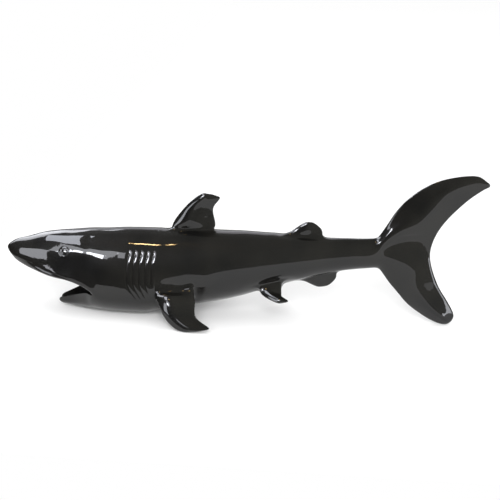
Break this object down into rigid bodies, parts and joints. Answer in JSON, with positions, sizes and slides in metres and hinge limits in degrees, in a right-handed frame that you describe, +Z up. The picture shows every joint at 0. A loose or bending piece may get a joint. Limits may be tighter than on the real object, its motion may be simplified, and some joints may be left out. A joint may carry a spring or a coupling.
{
  "type": "shark figurine",
  "caption": "Glossy black cast shark figurine with an open mouth, gill grooves, fins and a tall crescent tail, lying on its throat and fin tips.",
  "frame": {"origin": "on the ground plane, under the middle of the bounding box", "axes": "-X toward the nose, +X toward the tail, -Y to the port side that the picture shows, +Z up"},
  "size_m": [0.4752, 0.1214, 0.1523],
  "materials": {
    "lacquer": "deep black gloss lacquer over cast resin"
  },
  "bodies": {
    "root": {"shark_figure": "lacquer"}
  },
  "joints": []
}
